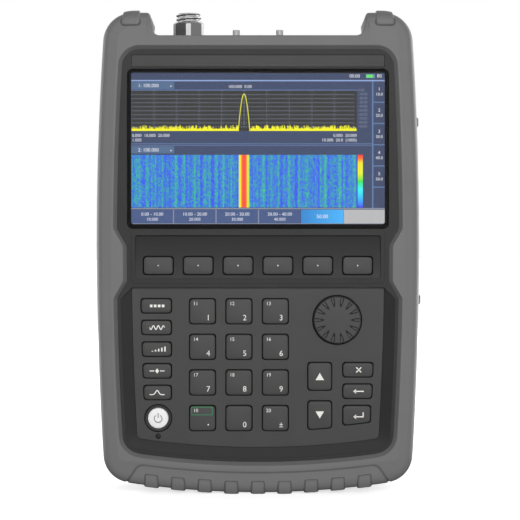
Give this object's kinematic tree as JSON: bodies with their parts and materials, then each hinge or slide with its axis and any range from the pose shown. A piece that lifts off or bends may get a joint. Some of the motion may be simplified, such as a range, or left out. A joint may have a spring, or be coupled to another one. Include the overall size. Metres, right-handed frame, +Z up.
{
  "type": "handheld spectrum analyzer",
  "caption": "Upright handheld radio test instrument with display, keypad, knob and top connectors, in a ribbed rubber boot with corner horns, kickstand and side port doors.",
  "frame": {"origin": "middle of the footprint on the plane of the rib soles that the instrument stands on", "axes": "+Z up, the display and keypad face -Y, +X to the right as seen from the front"},
  "size_m": [0.195, 0.076, 0.2948],
  "materials": {
    "boot_rubber": "matte moulded rubber",
    "seal_rubber": "silicone",
    "case_plastic": "fine texture",
    "plate_plastic": "fine texture",
    "nameplate_film": "satin film",
    "lens_glass": "hard-coated acrylic",
    "display_panel": "liquid crystal panel",
    "sheet_steel": "zinc plated",
    "component_plastic": "moulded",
    "shield_metal": "passivated",
    "board_laminate": "solder mask",
    "connector_chrome": "polished nickel",
    "key_rubber": "soft-touch",
    "button_white": "satin",
    "light_pipe": "clear moulded"
  },
  "bodies": {
    "instrument": {"rubber_boot": "boot_rubber", "bottom_bumper": "boot_rubber", "front_case": "case_plastic", "rear_case": "case_plastic", "case_seal": "seal_rubber", "case_screws": "sheet_steel", "nameplate": "nameplate_film", "display_lens": "lens_glass", "display_gasket": "seal_rubber", "lcd_module": "display_panel", "display_frame": "sheet_steel", "keypad_panel": "plate_plastic", "power_collar": "case_plastic", "status_led": "light_pipe", "encoder_body": "component_plastic", "keypad_mat": "seal_rubber", "keypad_board": "board_laminate", "main_board": "board_laminate", "rf_module": "shield_metal", "battery_pack": "component_plastic", "battery_door": "case_plastic", "usb_ports": "shield_metal", "power_ports": "shield_metal", "top_panel": "shield_metal", "rf_connector": "connector_chrome", "aux_connectors": "connector_chrome"},
    "key_1_body": {"key_1": "key_rubber"},
    "key_2_body": {"key_2": "key_rubber"},
    "key_3_body": {"key_3": "key_rubber"},
    "key_4_body": {"key_4": "key_rubber"},
    "key_5_body": {"key_5": "key_rubber"},
    "key_6_body": {"key_6": "key_rubber"},
    "key_7_body": {"key_7": "key_rubber"},
    "key_8_body": {"key_8": "key_rubber"},
    "key_9_body": {"key_9": "key_rubber"},
    "key_point_body": {"key_point": "key_rubber"},
    "key_0_body": {"key_0": "key_rubber"},
    "key_sign_body": {"key_sign": "key_rubber"},
    "key_mode_body": {"key_mode": "key_rubber"},
    "key_frequency_body": {"key_frequency": "key_rubber"},
    "key_amplitude_body": {"key_amplitude": "key_rubber"},
    "key_marker_body": {"key_marker": "key_rubber"},
    "key_peak_body": {"key_peak": "key_rubber"},
    "softkey_1_body": {"softkey_1": "key_rubber"},
    "softkey_2_body": {"softkey_2": "key_rubber"},
    "softkey_3_body": {"softkey_3": "key_rubber"},
    "softkey_4_body": {"softkey_4": "key_rubber"},
    "softkey_5_body": {"softkey_5": "key_rubber"},
    "softkey_6_body": {"softkey_6": "key_rubber"},
    "key_escape_body": {"key_escape": "key_rubber"},
    "key_back_body": {"key_back": "key_rubber"},
    "key_enter_body": {"key_enter": "key_rubber"},
    "key_up_body": {"key_up": "key_rubber"},
    "key_down_body": {"key_down": "key_rubber"},
    "power_button_body": {"power_button": "button_white"},
    "knob_body": {"knob": "key_rubber", "encoder_shaft": "sheet_steel"},
    "kickstand_body": {"kickstand": "case_plastic"},
    "port_door_upper_body": {"port_door_upper": "boot_rubber"},
    "port_door_lower_body": {"port_door_lower": "boot_rubber"}
  },
  "joints": [
    {"name": "key_1_press", "type": "slide", "parent": "instrument", "child": "key_1_body", "axis": [0, 1, 0], "range_m": [0, 0.001], "stiffness_N_per_m": 900, "springref_m": -0.001},
    {"name": "key_2_press", "type": "slide", "parent": "instrument", "child": "key_2_body", "axis": [0, 1, 0], "range_m": [0, 0.001], "stiffness_N_per_m": 900, "springref_m": -0.001},
    {"name": "key_3_press", "type": "slide", "parent": "instrument", "child": "key_3_body", "axis": [0, 1, 0], "range_m": [0, 0.001], "stiffness_N_per_m": 900, "springref_m": -0.001},
    {"name": "key_4_press", "type": "slide", "parent": "instrument", "child": "key_4_body", "axis": [0, 1, 0], "range_m": [0, 0.001], "stiffness_N_per_m": 900, "springref_m": -0.001},
    {"name": "key_5_press", "type": "slide", "parent": "instrument", "child": "key_5_body", "axis": [0, 1, 0], "range_m": [0, 0.001], "stiffness_N_per_m": 900, "springref_m": -0.001},
    {"name": "key_6_press", "type": "slide", "parent": "instrument", "child": "key_6_body", "axis": [0, 1, 0], "range_m": [0, 0.001], "stiffness_N_per_m": 900, "springref_m": -0.001},
    {"name": "key_7_press", "type": "slide", "parent": "instrument", "child": "key_7_body", "axis": [0, 1, 0], "range_m": [0, 0.001], "stiffness_N_per_m": 900, "springref_m": -0.001},
    {"name": "key_8_press", "type": "slide", "parent": "instrument", "child": "key_8_body", "axis": [0, 1, 0], "range_m": [0, 0.001], "stiffness_N_per_m": 900, "springref_m": -0.001},
    {"name": "key_9_press", "type": "slide", "parent": "instrument", "child": "key_9_body", "axis": [0, 1, 0], "range_m": [0, 0.001], "stiffness_N_per_m": 900, "springref_m": -0.001},
    {"name": "key_point_press", "type": "slide", "parent": "instrument", "child": "key_point_body", "axis": [0, 1, 0], "range_m": [0, 0.001], "stiffness_N_per_m": 900, "springref_m": -0.001},
    {"name": "key_0_press", "type": "slide", "parent": "instrument", "child": "key_0_body", "axis": [0, 1, 0], "range_m": [0, 0.001], "stiffness_N_per_m": 900, "springref_m": -0.001},
    {"name": "key_sign_press", "type": "slide", "parent": "instrument", "child": "key_sign_body", "axis": [0, 1, 0], "range_m": [0, 0.001], "stiffness_N_per_m": 900, "springref_m": -0.001},
    {"name": "key_mode_press", "type": "slide", "parent": "instrument", "child": "key_mode_body", "axis": [0, 1, 0], "range_m": [0, 0.001], "stiffness_N_per_m": 900, "springref_m": -0.001},
    {"name": "key_frequency_press", "type": "slide", "parent": "instrument", "child": "key_frequency_body", "axis": [0, 1, 0], "range_m": [0, 0.001], "stiffness_N_per_m": 900, "springref_m": -0.001},
    {"name": "key_amplitude_press", "type": "slide", "parent": "instrument", "child": "key_amplitude_body", "axis": [0, 1, 0], "range_m": [0, 0.001], "stiffness_N_per_m": 900, "springref_m": -0.001},
    {"name": "key_marker_press", "type": "slide", "parent": "instrument", "child": "key_marker_body", "axis": [0, 1, 0], "range_m": [0, 0.001], "stiffness_N_per_m": 900, "springref_m": -0.001},
    {"name": "key_peak_press", "type": "slide", "parent": "instrument", "child": "key_peak_body", "axis": [0, 1, 0], "range_m": [0, 0.001], "stiffness_N_per_m": 900, "springref_m": -0.001},
    {"name": "softkey_1_press", "type": "slide", "parent": "instrument", "child": "softkey_1_body", "axis": [0, 1, 0], "range_m": [0, 0.001], "stiffness_N_per_m": 900, "springref_m": -0.001},
    {"name": "softkey_2_press", "type": "slide", "parent": "instrument", "child": "softkey_2_body", "axis": [0, 1, 0], "range_m": [0, 0.001], "stiffness_N_per_m": 900, "springref_m": -0.001},
    {"name": "softkey_3_press", "type": "slide", "parent": "instrument", "child": "softkey_3_body", "axis": [0, 1, 0], "range_m": [0, 0.001], "stiffness_N_per_m": 900, "springref_m": -0.001},
    {"name": "softkey_4_press", "type": "slide", "parent": "instrument", "child": "softkey_4_body", "axis": [0, 1, 0], "range_m": [0, 0.001], "stiffness_N_per_m": 900, "springref_m": -0.001},
    {"name": "softkey_5_press", "type": "slide", "parent": "instrument", "child": "softkey_5_body", "axis": [0, 1, 0], "range_m": [0, 0.001], "stiffness_N_per_m": 900, "springref_m": -0.001},
    {"name": "softkey_6_press", "type": "slide", "parent": "instrument", "child": "softkey_6_body", "axis": [0, 1, 0], "range_m": [0, 0.001], "stiffness_N_per_m": 900, "springref_m": -0.001},
    {"name": "key_escape_press", "type": "slide", "parent": "instrument", "child": "key_escape_body", "axis": [0, 1, 0], "range_m": [0, 0.001], "stiffness_N_per_m": 900, "springref_m": -0.001},
    {"name": "key_back_press", "type": "slide", "parent": "instrument", "child": "key_back_body", "axis": [0, 1, 0], "range_m": [0, 0.001], "stiffness_N_per_m": 900, "springref_m": -0.001},
    {"name": "key_enter_press", "type": "slide", "parent": "instrument", "child": "key_enter_body", "axis": [0, 1, 0], "range_m": [0, 0.001], "stiffness_N_per_m": 900, "springref_m": -0.001},
    {"name": "key_up_press", "type": "slide", "parent": "instrument", "child": "key_up_body", "axis": [0, 1, 0], "range_m": [0, 0.001], "stiffness_N_per_m": 900, "springref_m": -0.001},
    {"name": "key_down_press", "type": "slide", "parent": "instrument", "child": "key_down_body", "axis": [0, 1, 0], "range_m": [0, 0.001], "stiffness_N_per_m": 900, "springref_m": -0.001},
    {"name": "power_button_press", "type": "slide", "parent": "instrument", "child": "power_button_body", "axis": [0, 1, 0], "range_m": [0, 0.001], "stiffness_N_per_m": 900, "springref_m": -0.001},
    {"name": "knob_turn", "type": "hinge", "parent": "instrument", "child": "knob_body", "pos_m": [0.048, -0.031, 0.1051], "axis": [0, 1, 0], "continuous": true},
    {"name": "kickstand_swing", "type": "hinge", "parent": "instrument", "child": "kickstand_body", "pos_m": [0, 0.0342, 0.204], "axis": [1, 0, 0], "range_deg": [0, 40]},
    {"name": "port_door_upper_swing", "type": "hinge", "parent": "instrument", "child": "port_door_upper_body", "pos_m": [0.09352, 0.015, 0.22591], "axis": [-0.039, 0, 0.9992], "range_deg": [0, 90]},
    {"name": "port_door_lower_swing", "type": "hinge", "parent": "instrument", "child": "port_door_lower_body", "pos_m": [0.09472, 0.015, 0.11704], "axis": [0.0169, 0, 0.9999], "range_deg": [0, 90]}
  ]
}
